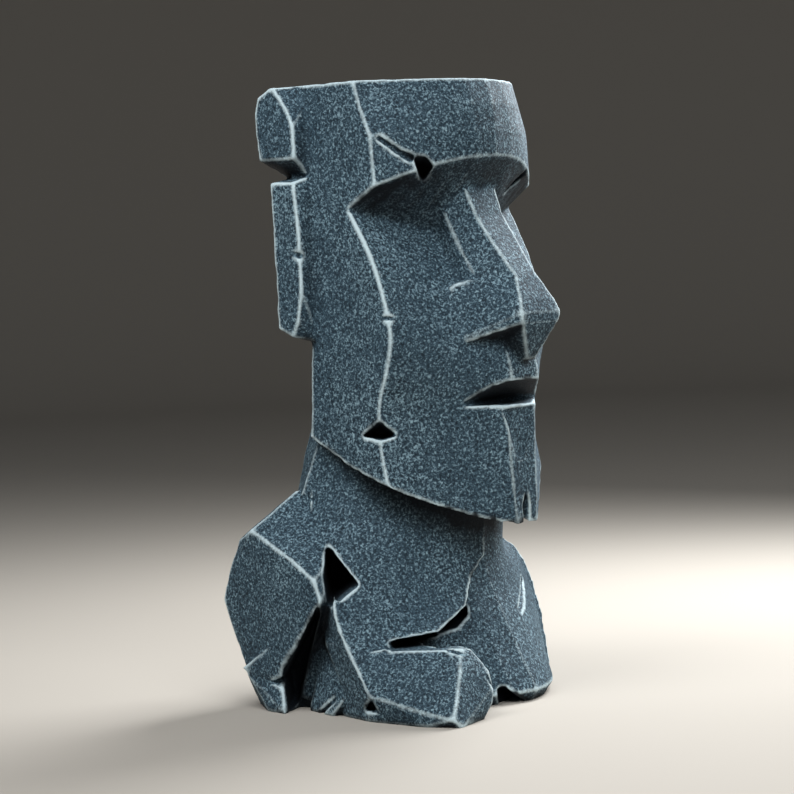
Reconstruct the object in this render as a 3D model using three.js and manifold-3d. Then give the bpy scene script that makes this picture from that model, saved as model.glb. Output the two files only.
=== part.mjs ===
// A stylised moai head and shoulders, cast in one piece and painted like worn basalt.
// Millimetres, +Z up. The face looks along -Y and x = 0 is the middle plane of the face.
import * as THREE from 'three';
import { ConvexGeometry } from 'three/addons/geometries/ConvexGeometry.js';
import { mergeVertices } from 'three/addons/utils/BufferGeometryUtils.js';
import Module from 'manifold-3d';

const wasm = await Module();
wasm.setup();

// Driving sizes
const headHalf = 40; // half the width of the head at its flat sides
const topZ = 198.5; // flat top of the head
const earOut = 46; // outer face of the ears
const noseTipY = -45; // furthest forward point of the nose
const bodyHalf = 55; // half the width of the body across the arms
const sliver = 0.03; // slivers narrower than this are merged away
const pocketLead = 4; // how far outside the skin a cut starts

const v = (x, y, z) => new THREE.Vector3(x, y, z);
const mirror = (points) => points.map((p) => v(-p.x, p.y, p.z));
const lerp = THREE.MathUtils.lerp;

// Solids: closed meshes with shared vertices, joined and cut by manifold-3d

function solidOf(geometry) {
  geometry.deleteAttribute('normal');
  geometry.deleteAttribute('uv');
  const merged = mergeVertices(geometry, 1e-4);
  const mesh = new wasm.Mesh({
    numProp: 3,
    vertProperties: new Float32Array(merged.attributes.position.array),
    triVerts: new Uint32Array(merged.index.array),
  });
  return new wasm.Manifold(mesh);
}

function hull(points) {
  return solidOf(new ConvexGeometry(points));
}

// the hull of the points and their mirror images, as one lump across the middle
function hullAcross(points) {
  return hull([...points, ...mirror(points)]);
}

// one lump on each side of the middle
function hullBothSides(points) {
  return hull(points).add(hull(mirror(points)));
}

// a closed skin over rings of equal length, capped flat at both ends
function loft(rings) {
  const count = rings[0].length;
  const positions = [];
  const index = [];
  for (const ring of rings) {
    for (const p of ring) positions.push(p.x, p.y, p.z);
  }
  for (let r = 0; r + 1 < rings.length; r += 1) {
    for (let i = 0; i < count; i += 1) {
      const a = r * count + i;
      const b = r * count + ((i + 1) % count);
      index.push(a, b, b + count, a, b + count, a + count);
    }
  }
  const cap = (ring, start, flip) => {
    const middle = ring.reduce((sum, p) => sum.add(p), v(0, 0, 0)).divideScalar(count);
    const centre = positions.length / 3;
    positions.push(middle.x, middle.y, middle.z);
    for (let i = 0; i < count; i += 1) {
      const a = start + i;
      const b = start + ((i + 1) % count);
      index.push(...(flip ? [centre, b, a] : [centre, a, b]));
    }
  };
  cap(rings[0], 0, true);
  cap(rings[rings.length - 1], (rings.length - 1) * count, false);
  const geometry = new THREE.BufferGeometry();
  geometry.setAttribute('position', new THREE.Float32BufferAttribute(positions, 3));
  geometry.setIndex(index);
  return solidOf(geometry);
}

// a tapering hole whose mouth is the rim, driven into the stone
function pocket(rim, inward, depth, taper) {
  const into = inward.clone().normalize();
  const middle = rim.reduce((sum, p) => sum.add(p), v(0, 0, 0)).divideScalar(rim.length);
  const mouth = rim.map((p) => p.clone().addScaledVector(into, -pocketLead));
  const floor = rim.map((p) => p.clone().lerp(middle, taper).addScaledVector(into, depth));
  return hull([...mouth, ...floor]);
}

// a V-shaped groove along a line on the surface: each stop is a place and a width
function groove(stops, inward, depth) {
  const into = inward.clone().normalize();
  const pieces = [];
  for (let i = 0; i + 1 < stops.length; i += 1) {
    const along = v(0, 0, 0).subVectors(stops[i + 1][0], stops[i][0]);
    const side = v(0, 0, 0).crossVectors(along, into).normalize();
    const corners = [];
    for (const [at, width] of [stops[i], stops[i + 1]]) {
      const lip = at.clone().addScaledVector(into, -depth);
      corners.push(lip.clone().addScaledVector(side, width));
      corners.push(lip.clone().addScaledVector(side, -width));
      corners.push(at.clone().addScaledVector(into, depth));
    }
    pieces.push(hull(corners));
  }
  return pieces.reduce((all, piece) => all.add(piece));
}

// Head: rings from the jaw up to the flat top

// Each row names the front corner beside the chin or nose, the edge of the cheek, and the
// corner at the back of the flat side. The face between two corners is ruled straight.
const faceRows = [
  { front: v(5, -36, 56.5), cheek: v(headHalf, -12.5, 71), side: v(headHalf, 19.3, 86.7) },
  { front: v(6.5, -35.5, 76), cheek: v(headHalf, -10, 84), side: v(headHalf, 18.5, 91) },
  { front: v(7, -35.5, 93), cheek: v(headHalf, -10.2, 97), side: v(headHalf, 18, 99) },
  { front: v(7, -37.5, 104), cheek: v(headHalf, -13.9, 108), side: v(headHalf, 17.5, 109) },
  { front: v(7, -36, 112), cheek: v(headHalf, -16, 118), side: v(headHalf, 17, 118) },
  { front: v(8, -32, 122), cheek: v(headHalf, -14.6, 127.5), side: v(headHalf, 20, 128) },
  { front: v(9, -24, 135), cheek: v(headHalf, -9.6, 143), side: v(headHalf, 22, 143) },
  { front: v(12, -12, 150.5), cheek: v(headHalf, -0.9, 158.6), side: v(headHalf, 22, 158.6) },
];
const faceSteps = 22; // rings up the face
const cheekSteps = 5; // strips across each cheek
const frontSteps = 2; // strips across the chin
const farCheek = 2.2; // how much further the far cheek swells below the brow
const jawSag = 1.3; // how far the edge of the jaw bows down between its corners

// The forehead bulges forward in a shallow curve, highest over the nose
const foreheadRows = [
  { middleY: -30, templeY: -12.3, middleZ: 174, templeZ: 165, sideZ: 166 },
  { middleY: -30.3, templeY: -11.3, middleZ: 182, templeZ: 181, sideZ: 181 },
  { middleY: -29.3, templeY: -7.5, middleZ: 190.5, templeZ: 190.5, sideZ: 190.5 },
  { middleY: -26.5, templeY: -5.2, middleZ: topZ, templeZ: topZ, sideZ: topZ },
];
const foreheadPower = 1.9;
const foreheadFront = 9; // half width of the strips that continue the chin's

// the plan of the back of the head, behind its flat sides
const backChamfer = { x: 29, behind: 8 };
const backFlat = { x: 13, y: 36 };

function ringOf(side, across, sag = 0) {
  const half = [];
  for (let i = 0; i <= frontSteps / 2; i += 1) half.push(across((i * 2) / frontSteps, 0));
  for (let i = 1; i <= cheekSteps; i += 1) half.push(across(1, i / cheekSteps));
  const cheek = half[half.length - 1];
  half.push(cheek.clone().lerp(side, 0.5).add(v(0, 0, -sag)));
  half.push(side);
  half.push(v(backChamfer.x, side.y + backChamfer.behind, side.z));
  half.push(v(backFlat.x, backFlat.y, side.z));
  const others = mirror(half.slice(1)).reverse();
  return [...others, ...half];
}

function faceRing(t) {
  const pick = (name) => new THREE.CatmullRomCurve3(faceRows.map((row) => row[name])).getPoint(t);
  const front = pick('front');
  const cheek = pick('cheek');
  const sag = jawSag * (1 - t) ** 8;
  const ring = ringOf(pick('side'), (f, c) => {
    if (c === 0) return v(front.x * f, front.y, front.z);
    const point = front.clone().lerp(cheek, c);
    point.z -= sag * 4 * c * (1 - c);
    return point;
  }, sag);
  for (const p of ring.filter((point) => point.x > front.x && point.y < 10)) {
    p.y -= farCheek * t ** 4 * (p.x / headHalf) ** 2;
  }
  return ring;
}

function foreheadRing(row) {
  const place = (x) => {
    const away = (Math.abs(x) / headHalf) ** foreheadPower;
    const drop = (Math.abs(x) / headHalf) ** 2.2;
    return v(x, lerp(row.middleY, row.templeY, away), lerp(row.middleZ, row.templeZ, drop));
  };
  return ringOf(v(headHalf, 22, row.sideZ), (f, c) => {
    return place(c === 0 ? foreheadFront * f : lerp(foreheadFront, headHalf, c));
  });
}

function headSolid() {
  const rings = [];
  for (let i = 0; i <= faceSteps; i += 1) rings.push(faceRing(i / faceSteps));
  for (const row of foreheadRows) rings.push(foreheadRing(row));
  return loft(rings);
}

// Nose: a flat ridge between two bevels, then wings flaring at the nostrils
const noseRows = [
  { z: 180, flat: [8, -16], bevel: [12.5, -7], root: [12.5, 4] },
  { z: 166, flat: [8, -21.8], bevel: [12.5, -12.5], root: [12.4, -2] },
  { z: 155, flat: [7, -26.1], bevel: [12.6, -18.2], root: [12.6, -6] },
  { z: 145, flat: [6.4, -32.9], bevel: [12.7, -23.4], root: [12.7, -12] },
  { z: 136, flat: [5.4, -39.3], bevel: [13, -29], root: [13, -17] },
  { z: 127, flat: [7, -43.8], bevel: [13, -33], root: [13, -20] },
];

function noseSolid() {
  const ridge = loft(noseRows.map((row) => {
    const half = [v(row.flat[0], row.flat[1], row.z)];
    half.push(v(row.bevel[0], row.bevel[1], row.z));
    half.push(v(row.root[0], row.root[1], row.z));
    half.push(v(row.root[0], 10, row.z));
    return [...mirror(half).reverse(), ...half];
  }).reverse());
  const wings = hullAcross([
    v(5.4, -39.6, 135.6), v(13, -29.2, 135.4), v(17.4, -26, 134), v(19, -24, 132.6),
    v(18.4, -15, 133.4),
    v(8.6, -43.6, 128), v(10, noseTipY, 123.8), v(9.5, -44.8, 120.5), v(13, -39.3, 120.6),
    v(17.8, -31.8, 117.5), v(19.4, -29.2, 117.3), v(21.5, -25.2, 114), v(20, -15, 116),
  ]);
  const septum = hullAcross([
    v(9.5, -44.7, 120.5), v(4.7, -41.9, 114.2), v(2, -40.1, 109), v(9, -30, 121), v(3, -30, 108),
  ]);
  return ridge.add(wings).add(septum);
}

// Ears: long slabs on the flat sides, notched through two thirds of the way up
function earSolid() {
  const upper = hullBothSides([
    v(earOut, 23.3, 198.2), v(earOut, 24.5, 198.2), v(earOut, 29.8, 195.6), v(earOut, 31.4, 190.7),
    v(earOut, 31.4, 183), v(earOut, 30.3, 175.5), v(earOut, 20.4, 194.6), v(earOut, 17.6, 190.6),
    v(earOut, 15.4, 185.4), v(earOut, 15.2, 175.5),
    v(headHalf - 6, 14, topZ), v(headHalf, 14.5, 186), v(headHalf, 14.8, 169.8), v(headHalf - 6, 14, 169),
    v(headHalf - 8, 31, topZ), v(headHalf - 8, 30, 169.8),
  ]);
  const lower = hullBothSides([
    v(earOut, 25.9, 168.2), v(earOut, 16.3, 168.2), v(earOut, 14.8, 150), v(earOut, 14.7, 134),
    v(earOut, 16.8, 124), v(earOut, 19.3, 119), v(earOut, 25.4, 122), v(earOut, 24.4, 143),
    v(headHalf - 1, 14, 170), v(headHalf - 8, 30, 170), v(headHalf - 1, 14, 117), v(headHalf - 8, 26, 117.5),
  ]);
  return upper.add(lower);
}

// Neck and body: a prow-shaped chest, an arm block on each side, and broken slabs on the near side

const bendPower = 1.7;

// how far back the skin has bent at a part of the way from the middle to the side:
// 0 for an edge at the side, 1 for a side that the skin rounds into
function bend(part, round) {
  const edged = part ** bendPower;
  const rounded = 1 - (1 - edged) ** (1 / bendPower);
  return lerp(edged, rounded, round);
}

// mirror-symmetric plan rows, each bending from its front back to its side
function prow(rows, round) {
  const steps = 8;
  return loft(rows.map((row) => {
    const half = [];
    for (let i = 1; i <= steps; i += 1) {
      const part = Math.sin((i / steps) * (Math.PI / 2));
      half.push(v(row.side[0] * part, lerp(row.front, row.side[1], bend(part, round)), row.z));
    }
    for (const [x, y] of row.back) half.push(v(x, y, row.z));
    return [...mirror(half).reverse(), v(0, row.front, row.z), ...half];
  }));
}

function neckSolid() {
  return prow([
    { z: 42, front: -18.2, side: [36.5, 15], back: [[40, 26], [30, 38], [14, 42]] },
    { z: 50, front: -18, side: [36, 15], back: [[40, 26], [30, 38], [14, 42]] },
    { z: 60, front: -18.6, side: [36.5, 14], back: [[39, 26], [30, 37], [14, 41]] },
    { z: 68, front: -18.5, side: [37, 14], back: [[38, 26], [30, 35], [14, 40]] },
    { z: 80, front: -16.5, side: [36, 14], back: [[36, 22], [28, 33], [13, 38]] },
    { z: 96, front: -12, side: [33, 12], back: [[32, 18], [25, 29], [12, 34]] },
  ], 1);
}

function chestSolid() {
  const back = [[44, 36], [32, 46], [15, 49]];
  return prow([
    { z: 0, front: -34.5, side: [45, -5], back: [[42, 36], [30, 44], [15, 46]] },
    { z: 3.4, front: -37, side: [46, -8.2], back },
    { z: 20, front: -28, side: [46, -6], back },
    { z: 34, front: -21.3, side: [44.5, -2.7], back },
    { z: 39, front: -19.6, side: [43, -1.4], back },
    { z: 44, front: -18.2, side: [41, 1.1], back: [[42, 34], [31, 44], [15, 47]] },
    { z: 48, front: -17.9, side: [36, 3.3], back: [[40, 32], [30, 42], [14, 45]] },
  ], -0.6);
}

// the arms are boulders worn off at an angle, the far one set a little further back
function armSolid() {
  const arm = (back) => [
    v(53, 35, 58), v(54, 24.7 + back / 2, 53), v(54.5, 16.3 + back, 48.8),
    v(bodyHalf, 7.2 + back * 1.5, 43 - back / 4),
    v(bodyHalf, 4.6 + back, 36.5), v(bodyHalf, 6 + back, 32.7), v(bodyHalf, 15, 24.4), v(54.5, 22.3, 17),
    v(54, 25.2, 12), v(53, 31, 10.3), v(50, 43, 12), v(50, 45.7, 25), v(50, 49.4, 28.6), v(50, 51.6, 34.5),
    v(50, 49.4, 42), v(50, 43.5, 54), v(36, 29, 69.8), v(36, 18 + back / 2, 63), v(40, 8 + back, 53),
    v(36, 8 + back, 36), v(34, 40, 64), v(34, 50, 40), v(34, 46, 12), v(36, 25, 12),
  ];
  const foot = [
    v(53.5, 23.8, 7.6), v(55.5, 21.5, 0), v(54, 30, 0), v(52.4, 30, 8.9), v(52.7, 40, 11.4), v(50, 34.5, 0),
    v(44, 43, 0), v(44, 46, 9), v(36, 42, 12), v(36, 40, 0), v(36, 28, 0), v(38, 28, 10), v(48, 30, 12),
  ];
  const lip = hull([
    v(-54.1, 26.1, 22.5), v(-54.5, 22.3, 16.2), v(-54, 23.7, 11.5), v(-53, 30, 9.4), v(-53, 40, 11.7),
    v(-52.8, 42, 13.1),
    v(-46, 30, 22), v(-46, 40, 13), v(-46, 27, 11),
  ]);
  return hull(mirror(arm(0))).add(hull(arm(6))).add(hullBothSides(foot)).add(lip);
}

// the near side of the chest, swelling out of the neck down to a broken edge; each row bends
// from the middle plane out to its corner, but the skin only starts at its edge
const slabRows = [
  { z: 0, middle: -40, edge: 36, corner: [54.5, -13], round: 0, turn: [50, 2] },
  { z: 8.5, middle: -46, edge: 40, corner: [56.9, -15.2], round: 0, turn: [52, -1] },
  { z: 15.5, middle: -45, edge: 38.5, corner: [56.2, -10.4], round: 0, turn: [50, 5] },
  { z: 22, middle: -43.7, edge: 35.5, corner: [55.3, -5.7], round: 0, turn: [49, 9] },
  { z: 24.5, middle: -38, edge: 31, corner: [55, -4.1], round: 0, turn: [48, 10] },
  { z: 28, middle: -31.3, edge: 23.8, corner: [54.8, -2.1], round: 0, turn: [48, 10] },
  { z: 32, middle: -26.5, edge: 16.2, corner: [54.2, -0.2], round: 0, turn: [47, 12] },
  { z: 36, middle: -23.4, edge: 12.9, corner: [53.2, 1.3], round: 0, turn: [47, 12] },
  { z: 40, middle: -21.2, edge: 9.4, corner: [51.6, 2.3], round: 0, turn: [47, 12] },
  { z: 46, middle: -18.9, edge: 1, corner: [49, 4.5], round: 0.15, turn: [47.5, 14] },
  { z: 53, middle: -18.4, edge: 0, corner: [45, 9], round: 0.5, turn: [45.5, 18] },
  { z: 60, middle: -18.7, edge: 0, corner: [40.5, 13], round: 0.9, turn: [41, 20] },
  { z: 67, middle: -18.5, edge: 0, corner: [37.6, 14], round: 1, turn: [38.4, 22] },
  { z: 78, middle: -16.5, edge: 0, corner: [35.5, 14], round: 1, turn: [36, 22] },
];
const slabSteps = 9; // strips from the edge of the slab to its corner

function slabSolid() {
  return loft(slabRows.map(({ z, middle, edge, corner, round, turn }) => {
    const ring = [];
    for (let i = 0; i <= slabSteps; i += 1) {
      const x = lerp(edge, corner[0], Math.sin((i / slabSteps) * (Math.PI / 2)));
      ring.push(v(x, lerp(middle, corner[1], bend(x / corner[0], round)), z));
    }
    ring.push(v(turn[0], turn[1], z), v(30, 24, z), v(10, 10, z), v(edge * 0.7, -2, z));
    return mirror(ring).reverse();
  }));
}

// a boulder lying against the chest, and rubble in the gap behind it
function footSolid() {
  const boulder = hull([
    v(-52.5, -8.9, 21), v(-49, -17, 22.3), v(-47, -25, 21.8), v(-41.3, -34.5, 22), v(-35, -34.5, 22.2),
    v(-32.5, -36.5, 21),
    v(-31, -39, 17.5), v(-30, -41.5, 14), v(-30, -43, 9.5), v(-31, -43, 4.5), v(-35, -42.5, 0), v(-50, -46, 0),
    v(-38, -37, 21.7), v(-43, -40.5, 16), v(-49, -43.5, 8), v(-53, -45, 2.6), v(-57, -15.5, 8.5),
    v(-56.4, -25.2, 6.7), v(-55.2, -34.5, 4.6), v(-54.5, -34, 0), v(-54.5, -14, 0),
    v(-36, -10, 18), v(-36, -10, 0), v(-26, -30, 12), v(-26, -30, 0),
  ]);
  const rubble = hull([
    v(-44, 6, 36), v(-46, 0, 31), v(-44, 17, 0), v(-47, 19, 0), v(-52, 5, 0), v(-52, -1, 6), v(-45, 16, 14),
    v(-38, 17, 14), v(-38, 17, 0), v(-38, 0, 30), v(-38, 0, 0),
  ]);
  return boulder.add(rubble);
}

// Cuts
const intoCorner = v(0.77, 0.64, -0.05); // from the near front corner of the statue
const intoSide = v(1, 0, 0);
const intoFront = v(0, 1, 0);

// the mouth, the same on both sides of the face
function mouthCut() {
  const lips = [
    v(20, -26.7, 96.3), v(12, -32.9, 101), v(6.5, -35.8, 102.3), v(20, -26.7, 95.3), v(7, -36, 94.8),
  ];
  const ahead = lips.map((p) => v(p.x > 10 ? p.x + 4 : p.x, p.y - 8, p.z));
  return hullAcross([...lips, ...ahead, v(10, -29.5, 96.2), v(10, -29.5, 95)]);
}

// where the boulders of the near side have parted
function partings() {
  const split = pocket([
    v(-44.8, 10.8, 53.4), v(-45, 8, 52.2), v(-44, -2.6, 40.5), v(-50.8, 5.5, 33.7), v(-49, 8.4, 43),
  ], intoCorner, 24, 0.4);
  const armpit = pocket([
    v(-54.5, 23.4, 11), v(-55, 5.4, 36.6), v(-53, 6.5, 33.5), v(-53, 13, 24), v(-53, 18, 8), v(-53, 19.5, -1),
    v(-54, 22, -1),
  ], intoCorner, 20, 0.3);
  const crackTip = pocket([v(-51.8, -13.9, 19.9), v(-44.5, -14.3, 22.8), v(-48.6, -17, 21.4)], intoCorner, 3, 0.4);
  const crack = pocket([
    v(-45.8, -13.9, 23.8), v(-29.5, -20.9, 25.4), v(-38.5, -33.6, 22.2), v(-41.5, -34.8, 21.9),
    v(-49.8, -17.6, 21.4),
  ], intoCorner, 14, 0.2);
  const crackArm = pocket([
    v(-34, -22.2, 24), v(-11.9, -19.7, 32), v(-12.6, -20.4, 28.4), v(-41.5, -34.8, 21.9),
  ], intoCorner, 12, 0.2);
  const behindBoulder = groove([
    [v(-41.5, -34.8, 21.9), 1.2], [v(-37.4, -38.1, 19.9), 0.7], [v(-32.6, -41.4, 14.2), 0.7], [v(-30, -42, 9), 0.8],
  ], intoFront, 4);
  return split.add(armpit).add(crackTip).add(crack).add(crackArm).add(behindBoulder);
}

// hollows along the foot of the chest
function undercuts() {
  const arch = pocket([
    v(-24, -39.5, -1), v(-17, -33.5, 6), v(-12.9, -34, 6.2), v(-1.2, -33.9, -1), v(-14.3, -40.6, -1),
  ], intoCorner, 14, 0.2);
  const notch = pocket([
    v(-56.7, -15.8, 8.4), v(-54.5, -10, 3), v(-55.6, -18.8, 2.8),
  ], intoCorner, 6, 0.5);
  const seam = groove([
    [v(-51.2, 2.7, 6.2), 0.5], [v(-50.6, 6.7, 3.6), 1.2], [v(-49.3, 12.2, 0), 1.8],
  ], intoSide, 3);
  return arch.add(notch).add(seam);
}

// cracks and chips in the head and on the skin of the shoulders
function chips() {
  const browCrack = groove([
    [v(-38.2, -12.8, 180.4), 1.4], [v(-35.3, -15.5, 177.6), 1.8], [v(-32.9, -17.4, 175.2), 2.1],
    [v(-29.4, -19.8, 173.2), 2.6],
  ], intoCorner, 2.6);
  const browHole = pocket([
    v(-29.8, -19.6, 174.2), v(-26, -22.1, 174), v(-23.1, -23.2, 170.8), v(-23.4, -17.9, 165.5),
    v(-26.2, -19.1, 167.7),
    v(-28.1, -20.9, 171.3),
  ], intoCorner, 10, 0.4);
  const farBrow = groove([[v(29, -19.5, 169), 2.4], [v(18, -18, 162.2), 0.8]], intoFront, 3.4);
  const jawHole = pocket([
    v(-39.7, -10, 92.5), v(-40, -0.9, 87.1), v(-39.5, -10.3, 85.6), v(-34.8, -13.8, 87.1),
  ], intoCorner, 8, 0.5);
  const cheekChip = groove([[v(-41, -12, 124.3), 1.2], [v(-37.5, -17.5, 123.8), 0.7]], intoCorner, 1.2);
  const earChip = groove([[v(-46.5, 18.5, 145.6), 1.4], [v(-45, 14, 144.6), 1.8]], intoSide, 1.6);
  const chinCrack = groove([[v(0.6, -35.8, 68), 0.3], [v(0, -36, 56), 2.8]], intoFront, 4);
  const chinFacet = pocket([
    v(-9.5, -35.4, 94.6), v(6, -36.4, 94.6), v(0.8, -36.3, 76), v(-3.6, -36.3, 76),
  ], intoFront, 1.2, 0.12);
  const chinChannel = pocket([
    v(-3.6, -36.4, 78), v(0.8, -36.4, 78), v(0.8, -36.8, 54), v(-3.2, -36.8, 54),
  ], intoFront, 1.1, 0.12);
  const farCrack = groove([
    [v(31.4, -9.1, 34.5), 1.6], [v(21, -16, 30), 2.6], [v(11.3, -22.5, 26), 1.6],
  ], intoFront, 3);
  const shoulderCrack = groove([[v(-37.5, 25.6, 67.7), 0.9], [v(-38.8, 19, 65.8), 0.5]], intoSide, 1.6);
  const head = [browCrack, browHole, farBrow, jawHole, cheekChip, earChip];
  const chin = [chinFacet, chinChannel, chinCrack];
  return [...head, ...chin, farCrack, shoulderCrack].reduce((all, piece) => all.add(piece));
}

const body = chestSolid().add(neckSolid()).add(armSolid()).add(slabSolid()).add(footSolid());
const head = headSolid().add(noseSolid()).add(earSolid());
const cuts = mouthCut().add(partings()).add(undercuts()).add(chips());
const statue = head.add(body).subtract(cuts).asOriginal().simplify(sliver);

// stand it on z = 0 with the middle of its box at the origin
const { min, max } = statue.boundingBox();
const placed = statue.translate([-(min[0] + max[0]) / 2, -(min[1] + max[1]) / 2, -min[2]]);

const shell = placed.getMesh();
const geometry = new THREE.BufferGeometry();
geometry.setAttribute('position', new THREE.BufferAttribute(shell.vertProperties, 3));
geometry.setIndex(new THREE.BufferAttribute(shell.triVerts, 1));
const stone = new THREE.MeshStandardMaterial({ color: 0x3e4a56, roughness: 0.85, metalness: 0 });
const moai = new THREE.Mesh(geometry, stone);
moai.name = 'moai';

const group = new THREE.Group();
group.add(moai);
export default group;
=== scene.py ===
import bpy
import math
import numpy as np
from mathutils import Matrix, Vector, noise
from mathutils.bvhtree import BVHTree
from mathutils.kdtree import KDTree


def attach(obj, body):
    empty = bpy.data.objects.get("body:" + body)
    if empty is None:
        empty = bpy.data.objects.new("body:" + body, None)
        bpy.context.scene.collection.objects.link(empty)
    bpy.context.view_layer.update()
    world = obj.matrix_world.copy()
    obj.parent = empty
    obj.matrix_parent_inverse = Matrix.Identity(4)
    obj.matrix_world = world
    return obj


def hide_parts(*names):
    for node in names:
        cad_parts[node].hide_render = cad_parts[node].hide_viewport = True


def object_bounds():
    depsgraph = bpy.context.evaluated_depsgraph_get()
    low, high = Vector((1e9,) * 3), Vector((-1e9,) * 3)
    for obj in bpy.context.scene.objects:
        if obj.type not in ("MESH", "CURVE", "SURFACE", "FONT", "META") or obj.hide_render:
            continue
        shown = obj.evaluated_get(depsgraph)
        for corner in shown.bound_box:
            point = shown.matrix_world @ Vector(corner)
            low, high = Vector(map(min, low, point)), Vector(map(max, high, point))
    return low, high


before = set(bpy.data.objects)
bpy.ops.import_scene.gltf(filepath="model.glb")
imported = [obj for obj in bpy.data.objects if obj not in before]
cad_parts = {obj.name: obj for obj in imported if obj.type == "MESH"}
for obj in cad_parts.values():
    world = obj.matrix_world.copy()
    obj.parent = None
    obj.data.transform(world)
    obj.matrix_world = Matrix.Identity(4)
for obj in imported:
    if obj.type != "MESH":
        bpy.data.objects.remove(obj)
low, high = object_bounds()
centre = (low + high) / 2


def linearColor(hexText):
    # sRGB hex to the linear values Blender mixes in
    parts = [int(hexText[i:i + 2], 16) / 255 for i in (1, 3, 5)]
    linear = [p / 12.92 if p <= 0.04045 else ((p + 0.055) / 1.055) ** 2.4 for p in parts]
    return (*linear, 1.0)


def addNode(tree, kind, settings=None, values=None, links=None):
    node = tree.nodes.new(kind)
    for name, value in (settings or {}).items():
        setattr(node, name, value)
    for name, value in (values or {}).items():
        node.inputs[name].default_value = value
    for name, source in (links or {}).items():
        tree.links.new(source, node.inputs[name])
    return node


# the cast body: lengths in metres
statue = dict(
    voxel=0.0005,        # remesh size
    soften=2,            # smoothing passes that round the edges
    wearPasses=10,       # how wide an edge counts as an edge
    wearGain=4800.0,     # 1/m, how fast wear grows with sharpness
    triangles=185000,
    lump=0.00022,        # height of the slow waves of the casting
    lumpScale=0.011,     # length of those waves
    nibble=0.00026,      # half the depth of the chips along the edges
    nibbleScale=0.0042,  # length of those chips
    nibbleShare=0.05,    # raises the share of an edge that is chipped
    nibbleGrip=1.6,      # how soon an edge is worn enough to chip
    skyRays=24,          # rays from each sampled vertex
    skyStep=12,          # one vertex in this many is sampled
    skyNear=6,           # samples that each vertex is averaged from
    skyLift=0.0004,      # how far above the skin the rays start
    skyLow=-0.1,         # rays that dip further than this meet the ground
    skySpread=0.0003,    # evens out samples that lie very close
    inset=0.00002,       # kept clear of the solid's own box
)


def modified(obj, kind, **settings):
    mod = obj.modifiers.new(kind.lower(), kind)
    for name, value in settings.items():
        setattr(mod, name, value)
    graph = bpy.context.evaluated_depsgraph_get()
    mesh = bpy.data.meshes.new_from_object(obj.evaluated_get(graph))
    obj.modifiers.clear()
    old, obj.data = obj.data, mesh
    bpy.data.meshes.remove(old)


def edgePairs(mesh):
    pairs = np.empty(len(mesh.edges) * 2, dtype=np.int32)
    mesh.edges.foreach_get("vertices", pairs)
    return pairs.reshape(-1, 2)


def positions(mesh):
    co = np.empty(len(mesh.vertices) * 3, dtype=np.float32)
    mesh.vertices.foreach_get("co", co)
    return co.reshape(-1, 3).astype(np.float64)


def normals(mesh):
    no = np.empty(len(mesh.vertices) * 3, dtype=np.float32)
    mesh.vertices.foreach_get("normal", no)
    return no.reshape(-1, 3).astype(np.float64)


def smoothed(values, pairs, passes, pull=0.5):
    # each vertex moves towards the average of its neighbours
    count = np.bincount(pairs.ravel(), minlength=len(values)).astype(np.float64)
    count[count == 0] = 1
    for _ in range(passes):
        total = np.zeros_like(values)
        for axis in range(values.shape[1]):
            total[:, axis] += np.bincount(pairs[:, 0], values[pairs[:, 1], axis], len(values))
            total[:, axis] += np.bincount(pairs[:, 1], values[pairs[:, 0], axis], len(values))
        values = values + pull * (total / count[:, None] - values)
    return values


def waves(points, scale, seed):
    offset = Vector((seed * 7.1, seed * 3.7, seed * 5.3))
    return np.array([noise.noise(Vector(p) / scale + offset) for p in points])


def openness(source, points, facing):
    # share of the rays from each point that leave the statue and clear the ground
    corners = [v.co for v in source.vertices]
    tree = BVHTree.FromPolygons(corners, [p.vertices for p in source.polygons])
    rng = np.random.default_rng(11)
    count = statue["skyRays"]
    goldenTurn = 0.618034
    turn = 2 * math.pi * (np.arange(count) * goldenTurn % 1)
    lift = np.sqrt((np.arange(count) + 0.5) / count)
    ways = np.stack([lift * np.cos(turn), lift * np.sin(turn), np.sqrt(1 - lift ** 2)], 1)
    seen = np.zeros(len(points))
    for i, (point, normal) in enumerate(zip(points, facing)):
        across = np.cross(normal, (0.0, 0.0, 1.0) if abs(normal[2]) < 0.9 else (1.0, 0.0, 0.0))
        across /= np.linalg.norm(across)
        spin = rng.uniform(0, 2 * math.pi)
        across = across * math.cos(spin) + np.cross(normal, across) * math.sin(spin)
        basis = np.stack([across, np.cross(normal, across), normal])
        start = Vector(point + normal * statue["skyLift"])
        for way in ways @ basis:
            if way[2] > statue["skyLow"] and tree.ray_cast(start, Vector(way))[0] is None:
                seen[i] += 1
    return seen / count


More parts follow.
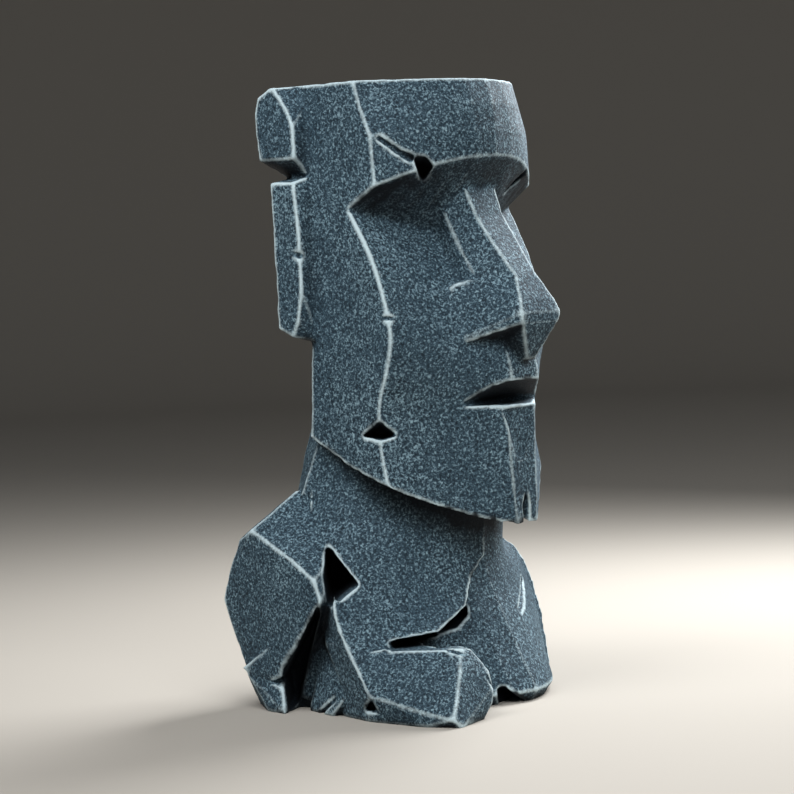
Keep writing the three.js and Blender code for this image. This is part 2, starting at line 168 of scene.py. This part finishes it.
def buildStatue():
    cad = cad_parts["moai"]
    obj = bpy.data.objects.new("moai_stone", cad.data.copy())
    bpy.context.scene.collection.objects.link(obj)
    modified(obj, "REMESH", mode="VOXEL", voxel_size=statue["voxel"], adaptivity=0.0)
    mesh = obj.data
    pairs = edgePairs(mesh)
    rough = positions(mesh)
    soft = smoothed(rough, pairs, statue["soften"])
    mesh.vertices.foreach_set("co", soft.astype(np.float32).ravel())
    mesh.update()
    facing = normals(mesh)
    # sharpness: how far a vertex stands out from the smoothed skin around it
    wide = smoothed(soft, pairs, statue["wearPasses"])
    sharp = np.einsum("ij,ij->i", soft - wide, facing) * statue["wearGain"]
    wear = np.clip(sharp, -1, 1)
    # sky share, worked out on every few vertices and spread to the rest; it sets the painted shade in the
    # paint
    picked = np.arange(0, len(soft), statue["skyStep"])
    share = openness(cad.data, soft[picked], facing[picked])
    tree = KDTree(len(picked))
    for i, point in enumerate(soft[picked]):
        tree.insert(point, i)
    tree.balance()
    sky = np.empty(len(soft))
    for i, point in enumerate(soft):
        near = tree.find_n(point, statue["skyNear"])
        weights = [1 / (distance + statue["skySpread"]) for _, _, distance in near]
        sky[i] = sum(w * share[j] for w, (_, j, _) in zip(weights, near)) / sum(weights)
    print("sky share ready")
    # the casting: slow waves everywhere, nibbles along the edges
    step = statue["lump"] * waves(soft, statue["lumpScale"], 1)
    bite = np.clip(waves(soft, statue["nibbleScale"], 2) + statue["nibbleShare"], 0, 1)
    step -= statue["nibble"] * 2 * bite * np.clip(wear * statue["nibbleGrip"], 0, 1)
    cast = soft + facing * step[:, None]
    cast = np.clip(cast, np.array(low) + statue["inset"], np.array(high) - statue["inset"])
    flat = soft[:, 2] < low.z + statue["voxel"]
    cast[flat, 2] = low.z + statue["inset"]
    mesh.vertices.foreach_set("co", cast.astype(np.float32).ravel())
    for name, values in (("wear", wear), ("sky", sky)):
        store = mesh.attributes.new(name, "FLOAT", "POINT")
        store.data.foreach_set("value", values.astype(np.float32))
    mesh.update()
    ratio = statue["triangles"] / (2 * len(mesh.polygons))
    print("statue remeshed:", len(mesh.polygons), "quads")
    if ratio < 1:
        modified(obj, "DECIMATE", ratio=ratio)
    for polygon in obj.data.polygons:
        polygon.use_smooth = True
    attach(obj, "root")
    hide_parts("moai")
    print("statue ready:", len(obj.data.polygons), "triangles")
    return obj


# the dry-brushed paint and the painted shade: lengths in metres
stone = dict(
    shadow="#182630",     # paint in the low grain
    body="#435c6c",       # slate grey
    grain="#a4c4d2",      # brush marks on the high grain
    edge="#d0e6ee",       # brushed edges
    paintedShade="#060c14",       # painted shade: near-black colour laid where little sky reaches
    paintedShadeFull=0.16,        # sky share where the painted shade is strongest
    paintedShadeNone=0.44,        # and where there is none
    paintedShadeDepth=0.97,
    roughness=0.75,
    specular=0.2,         # chalky paint has little gloss
    ior=1.5,
    grainSize=0.00038,    # drawn as coarse as it needs to show
    patchSize=0.012,      # areas that took more or less of the brush
    patchPull=0.16,       # how much those areas count
    lowGrain=(0.34, 0.62),   # grain height from shadow to body colour
    highGrain=(0.60, 0.84),  # grain height from no brush marks to full ones
    brushDepth=0.9,
    wornEdge=(0.16, 0.72),   # wear from no edge paint to full edge paint
    edgeDepth=0.86,
    edgeBreak=(0.55, -0.28),  # share of the grain in the wear, and its shift
    bumpHeight=0.00048,
    bumpStrength=0.6,
)


def stoneMaterial():
    # matt acrylic brushed over cast stone: no gloss, pale marks on the high grain and edges, painted shade
    # in the hollows and under overhangs
    mat = bpy.data.materials.new("drybrushed_cast_stone")
    mat.use_nodes = True
    tree = mat.node_tree
    shader = tree.nodes["Principled BSDF"]
    coords = addNode(tree, "ShaderNodeTexCoord").outputs["Object"]
    grain = addNode(tree, "ShaderNodeTexNoise", None,
                    {"Scale": 0.5 / stone["grainSize"], "Detail": 3.0, "Roughness": 0.6, "Distortion": 0.6},
                    {"Vector": coords}).outputs["Fac"]
    patch = addNode(tree, "ShaderNodeTexNoise", None,
                    {"Scale": 0.5 / stone["patchSize"], "Detail": 2.0, "Roughness": 0.5},
                    {"Vector": coords}).outputs["Fac"]
    wear = addNode(tree, "ShaderNodeAttribute", {"attribute_name": "wear"}).outputs["Fac"]
    # low grain darkens, high grain catches the brush
    lowFrom, lowTo = stone["lowGrain"]
    hollow = addNode(tree, "ShaderNodeMapRange", None,
                     {"From Min": lowFrom, "From Max": lowTo, "To Min": 0.0, "To Max": 1.0},
                     {"Value": grain})
    base = addNode(tree, "ShaderNodeMix", {"data_type": "RGBA"}, None,
                   {"Factor": hollow.outputs["Result"]})
    base.inputs["A"].default_value = linearColor(stone["shadow"])
    base.inputs["B"].default_value = linearColor(stone["body"])
    lift = addNode(tree, "ShaderNodeMath", {"operation": "MULTIPLY_ADD"},
                   {1: stone["patchPull"]}, {0: patch, 2: grain})
    highFrom, highTo = stone["highGrain"]
    marks = addNode(tree, "ShaderNodeMapRange", None,
                    {"From Min": highFrom, "From Max": highTo, "To Min": 0.0, "To Max": stone["brushDepth"]},
                    {"Value": lift.outputs[0]})
    brushed = addNode(tree, "ShaderNodeMix", {"data_type": "RGBA"}, None,
                      {"Factor": marks.outputs["Result"], "A": base.outputs["Result"]})
    brushed.inputs["B"].default_value = linearColor(stone["grain"])
    # edges: wear broken up by the grain
    share, shift = stone["edgeBreak"]
    broken = addNode(tree, "ShaderNodeMath", {"operation": "MULTIPLY_ADD"}, {1: share, 2: shift}, {0: grain})
    edge = addNode(tree, "ShaderNodeMath", {"operation": "ADD"}, None, {0: wear, 1: broken.outputs[0]})
    wornFrom, wornTo = stone["wornEdge"]
    edgeMask = addNode(tree, "ShaderNodeMapRange", None,
                       {"From Min": wornFrom, "From Max": wornTo,
                        "To Min": 0.0, "To Max": stone["edgeDepth"]},
                       {"Value": edge.outputs[0]})
    final = addNode(tree, "ShaderNodeMix", {"data_type": "RGBA"}, None,
                    {"Factor": edgeMask.outputs["Result"], "A": brushed.outputs["Result"]})
    final.inputs["B"].default_value = linearColor(stone["edge"])
    bump = addNode(tree, "ShaderNodeBump", None,
                   {"Strength": stone["bumpStrength"], "Distance": stone["bumpHeight"]}, {"Height": grain})
    # painted shade: the colour darkens towards near black where little sky reaches, in hollows and under
    # overhangs
    sky = addNode(tree, "ShaderNodeAttribute", {"attribute_name": "sky"}).outputs["Fac"]
    paintedShadeMask = addNode(tree, "ShaderNodeMapRange", None,
                     {"From Min": stone["paintedShadeFull"], "From Max": stone["paintedShadeNone"],
                      "To Min": stone["paintedShadeDepth"], "To Max": 0.0}, {"Value": sky})
    skin = addNode(tree, "ShaderNodeMix", {"data_type": "RGBA"}, None,
                   {"Factor": paintedShadeMask.outputs["Result"], "A": final.outputs["Result"]})
    skin.inputs["B"].default_value = linearColor(stone["paintedShade"])
    tree.links.new(skin.outputs["Result"], shader.inputs["Base Color"])
    tree.links.new(bump.outputs["Normal"], shader.inputs["Normal"])
    shader.inputs["Roughness"].default_value = stone["roughness"]
    shader.inputs["IOR"].default_value = stone["ior"]
    shader.inputs["Specular IOR Level"].default_value = stone["specular"]
    return mat


moai = buildStatue()
moai.data.materials.clear()
moai.data.materials.append(stoneMaterial())

# floor and surroundings
studio = dict(
    floorColor="#b3aea6",
    floorRoughness=0.9,
    floorRadius=1.9,     # where the floor starts to curve up
    wallRadius=0.6,
    wallHeight=2.2,
    curveSteps=12,       # rings in the curve from floor to wall
    spokes=96,
    world=0.12,          # strength of the even light from all around
    worldColor="#eef3f8",
)

# power in watts, size and distance in metres, direction from the statue
lights = {
    "key": dict(power=4.4, size=0.3, way=(1.0, -0.08, 0.75), distance=0.44),
    "fill": dict(power=3.6, size=0.5, way=(-0.5, -0.75, 0.7), distance=0.9),
    "top": dict(power=3.0, size=0.5, way=(-0.8, 0.1, 1.0), distance=0.7),
}

camera = dict(
    place=(-0.65635, -0.5382, 0.139),  # from the middle of the base
    azimuth=-50.0,
    drop=2.797,        # degrees below level
    roll=2.6,
    lens=117.9,
)


def studioFloor():
    # a flat disc whose rim curves up into a wall, with no corner
    rings = [0.0, studio["floorRadius"]]
    heights = [0.0, 0.0]
    for i in range(1, studio["curveSteps"] + 1):
        turn = math.radians(90) * i / studio["curveSteps"]
        rings.append(studio["floorRadius"] + studio["wallRadius"] * math.sin(turn))
        heights.append(studio["wallRadius"] * (1 - math.cos(turn)))
    rings.append(rings[-1])
    heights.append(studio["wallHeight"])
    count = studio["spokes"]
    points = [(0, 0, 0)]
    for r, z in list(zip(rings, heights))[1:]:
        for i in range(count):
            a = 2 * math.pi * i / count
            points.append((r * math.cos(a), r * math.sin(a), z))
    faces = [(0, 1 + i, 1 + (i + 1) % count) for i in range(count)]
    for ring in range(len(rings) - 2):
        for i in range(count):
            j = (i + 1) % count
            a = 1 + ring * count
            faces.append((a + i, a + count + i, a + count + j, a + j))
    mesh = bpy.data.meshes.new("floor")
    mesh.from_pydata(points, [], faces)
    for polygon in mesh.polygons:
        polygon.use_smooth = True
    obj = bpy.data.objects.new("floor", mesh)
    obj.location.z = low.z
    bpy.context.scene.collection.objects.link(obj)
    mat = bpy.data.materials.new("pale_matt_floor")
    mat.use_nodes = True
    shader = mat.node_tree.nodes["Principled BSDF"]
    shader.inputs["Base Color"].default_value = linearColor(studio["floorColor"])
    shader.inputs["Roughness"].default_value = studio["floorRoughness"]
    mesh.materials.append(mat)


def areaLight(name, power, size, way, distance):
    light = bpy.data.lights.new(name, "AREA")
    light.energy = power
    light.shape = "DISK"
    light.size = size
    obj = bpy.data.objects.new(name, light)
    way = Vector(way).normalized()
    obj.location = centre + way * distance
    obj.rotation_mode = "QUATERNION"
    obj.rotation_quaternion = way.to_track_quat("Z", "Y")
    bpy.context.scene.collection.objects.link(obj)


def studioCamera():
    a, e = math.radians(camera["azimuth"]), -math.radians(camera["drop"])
    ahead = Vector((-math.sin(a) * math.cos(e), math.cos(a) * math.cos(e), math.sin(e)))
    data = bpy.data.cameras.new("camera")
    data.lens = camera["lens"]
    obj = bpy.data.objects.new("camera", data)
    obj.location = Vector((centre.x, centre.y, low.z)) + Vector(camera["place"])
    turn = ahead.to_track_quat("-Z", "Y").to_matrix()
    obj.rotation_mode = "QUATERNION"
    obj.rotation_quaternion = (turn @ Matrix.Rotation(math.radians(-camera["roll"]), 3, "Z")).to_quaternion()
    bpy.context.scene.collection.objects.link(obj)
    bpy.context.scene.camera = obj


studioFloor()
for name, light in lights.items():
    areaLight(name, **light)
world = bpy.data.worlds.new("studio")
world.use_nodes = True
background = world.node_tree.nodes["Background"]
background.inputs["Color"].default_value = linearColor(studio["worldColor"])
background.inputs["Strength"].default_value = studio["world"]
bpy.context.scene.world = world
bpy.context.scene.view_settings.view_transform = "Standard"
studioCamera()
print("studio ready")
